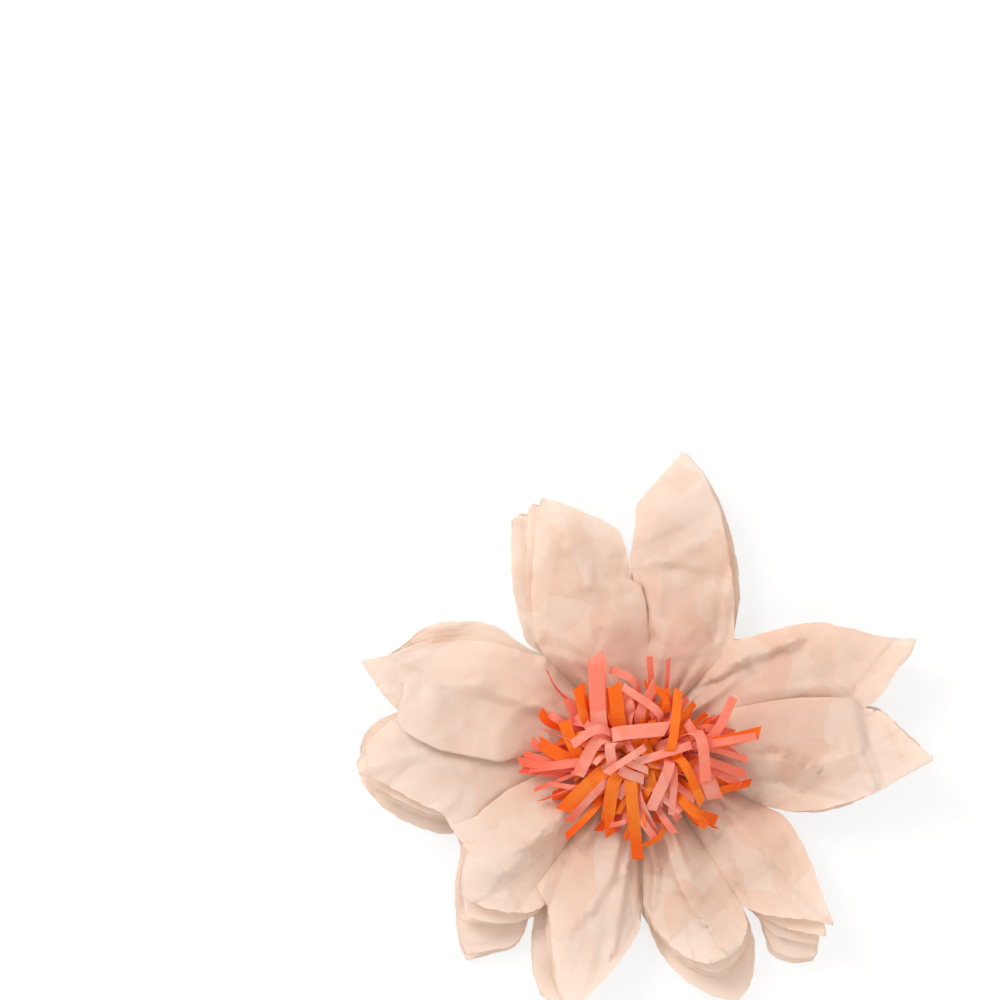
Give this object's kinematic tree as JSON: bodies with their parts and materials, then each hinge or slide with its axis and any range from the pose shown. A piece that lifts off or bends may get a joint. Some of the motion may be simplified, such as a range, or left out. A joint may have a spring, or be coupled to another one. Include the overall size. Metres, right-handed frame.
{
  "type": "tissue paper flower",
  "caption": "Open decorative flower of pleated tissue sheets fanned out to both sides of a tied waist, with a centre of shorter sheets cut into strips.",
  "frame": {"origin": "middle of the flat back of the binding band, which lies on the surface that the flower rests on", "axes": "+Z out of the flower's face, +Y to the top of the flower as it is seen from its face, +X to its right"},
  "size_m": [0.4862, 0.4695, 0.0757],
  "materials": {
    "peach_tissue": "matt, pleated and creased tissue",
    "orange_tissue": "matt tissue cut into strips",
    "salmon_tissue": "matt tissue cut into strips",
    "band_paper": "matt paper band"
  },
  "bodies": {
    "root": {"petal_sheet_1": "peach_tissue", "petal_sheet_2": "peach_tissue", "petal_sheet_3": "peach_tissue", "petal_sheet_4": "peach_tissue", "petal_sheet_5": "peach_tissue", "fringe_sheet_1": "orange_tissue", "fringe_sheet_3": "orange_tissue", "fringe_sheet_2": "salmon_tissue", "fringe_sheet_4": "salmon_tissue", "binding_band": "band_paper"}
  },
  "joints": []
}
